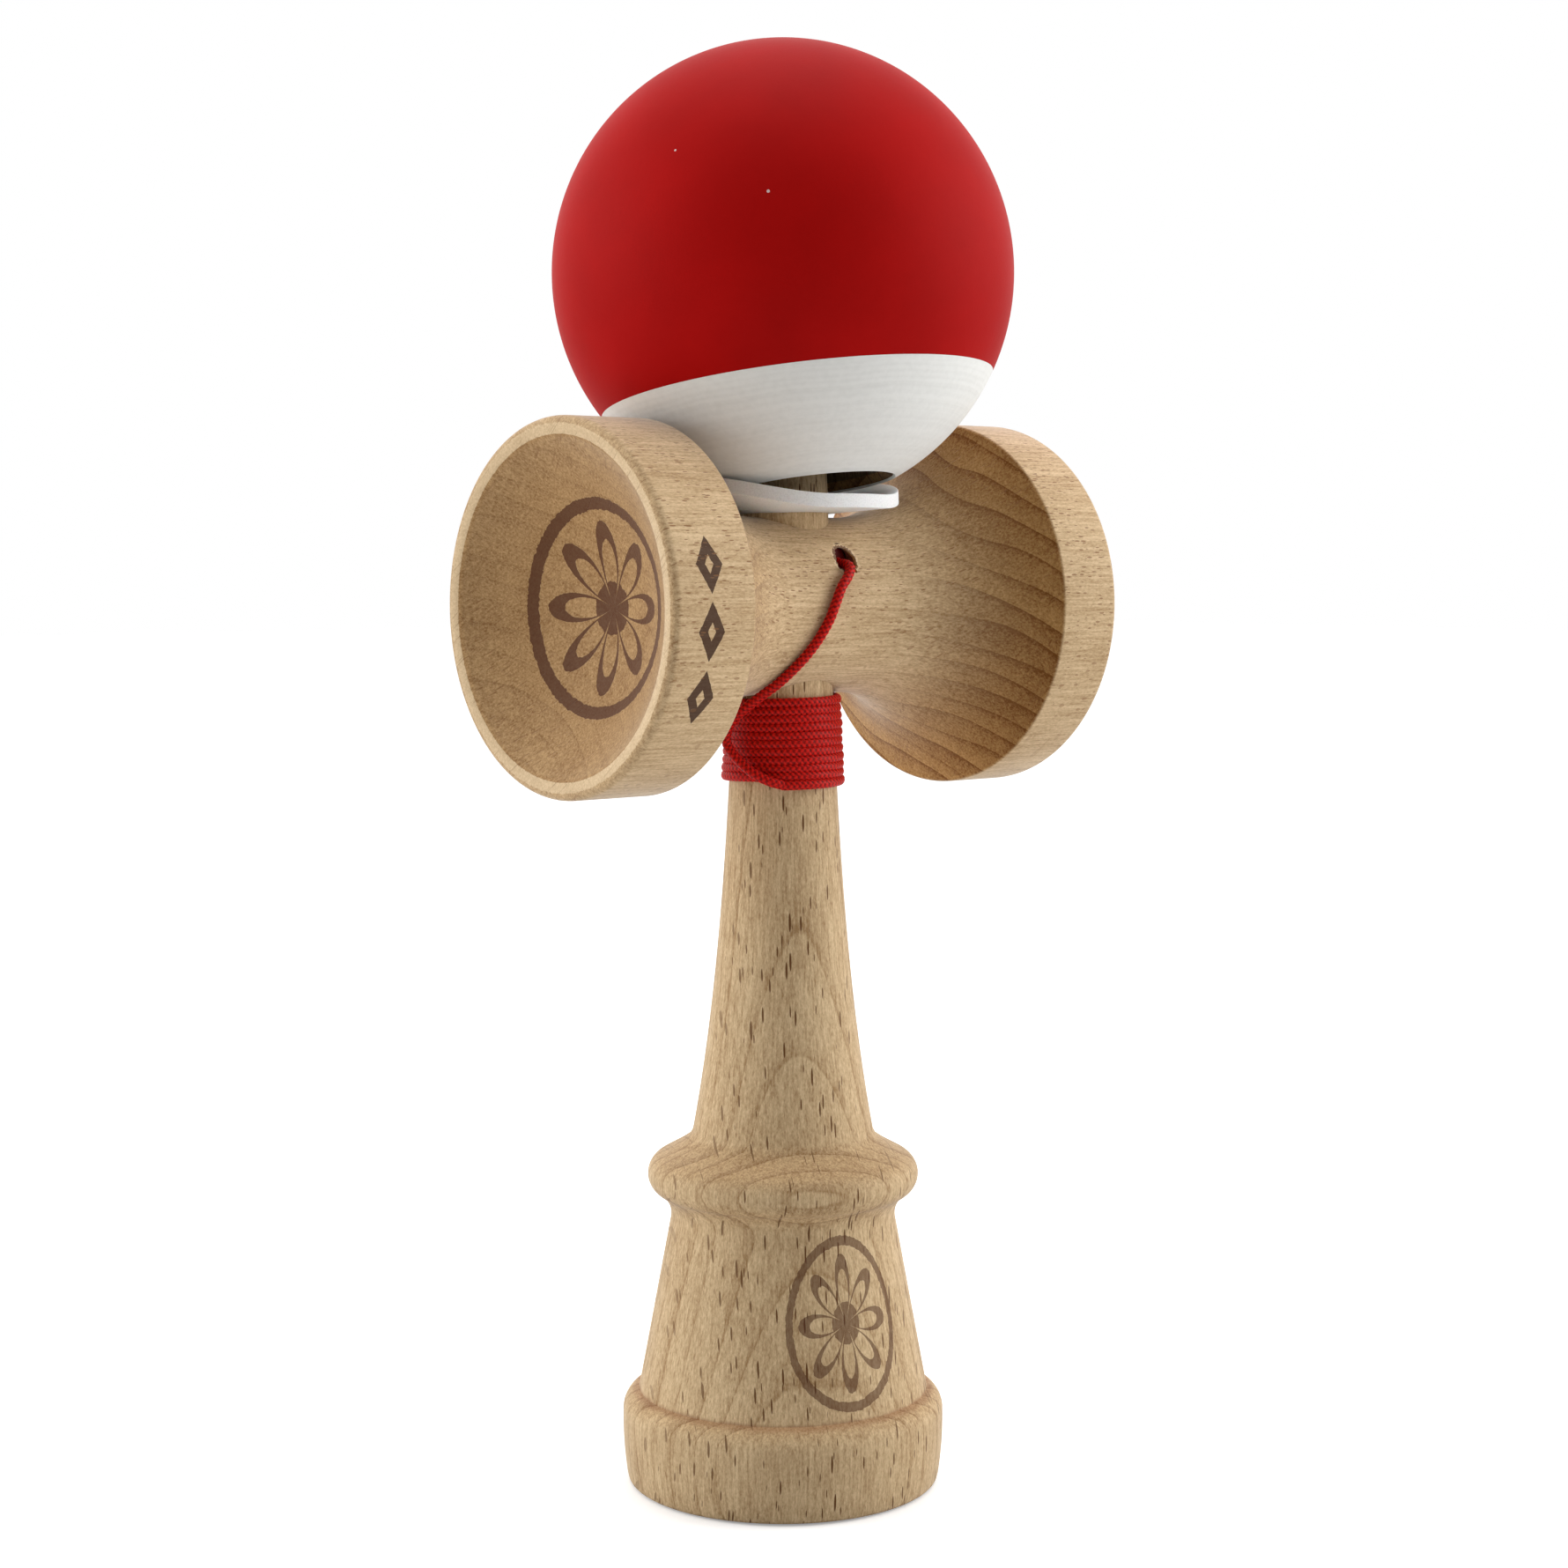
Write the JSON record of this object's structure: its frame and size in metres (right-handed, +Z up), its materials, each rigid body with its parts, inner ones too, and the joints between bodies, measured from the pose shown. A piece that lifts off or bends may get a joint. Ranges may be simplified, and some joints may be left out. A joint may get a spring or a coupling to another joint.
{
  "type": "kendama",
  "caption": "Kendama: turned wooden sword with spike, foot cup and two-cup crosspiece, two-colour ball on the spike, foam spacer and wound string.",
  "frame": {"origin": "centre of the foot's bottom, on the sword's axis", "axes": "+Z up along the sword to the ball; +X along the crosspiece to the big cup; -Y to the side with the string hole"},
  "size_m": [0.0748, 0.0615, 0.19],
  "materials": {
    "ken_beech": "bare turned beech, sanded smooth, dry and matte",
    "sarado_beech": "bare turned beech, end grain darker on the flares",
    "ball_beech": "bare turned beech inside the bores",
    "bead_beech": "small turned wooden bead",
    "red_rubber_paint": "soft-touch rubber paint, matte with a velvety edge",
    "white_paint": "matte white paint over turned wood",
    "white_foam": "dense white foam rubber",
    "red_cord": "braided polyester cord"
  },
  "bodies": {
    "ken": {"ken": "ken_beech", "sarado": "sarado_beech", "sarado_knot": "red_cord", "string_lead": "red_cord", "string_wraps": "red_cord", "string_rise": "red_cord"},
    "spacer": {"spacer_washer": "white_foam"},
    "tether": {"tama_bead": "bead_beech", "tama_knot": "red_cord"},
    "tama": {"tama_core": "ball_beech", "tama_red_coat": "red_rubber_paint", "tama_white_coat": "white_paint"}
  },
  "joints": [
    {"name": "tama_lift", "type": "slide", "parent": "ken", "child": "tether", "axis": [0, 0, 1], "range_m": [0, 0.05], "deforming": ["string_rise"]},
    {"name": "tama_spin", "type": "hinge", "parent": "tether", "child": "tama", "pos_m": [0, 0, 0.1594], "axis": [-0.0259, 0.153, 0.9879], "continuous": true},
    {"name": "spacer_slide", "type": "slide", "parent": "ken", "child": "spacer", "axis": [0, 0, 1], "range_m": [0, 0.02]}
  ],
  "couplings": [
    {"joint": "spacer_slide", "follows": "tama_lift", "ratio": 0.4}
  ]
}
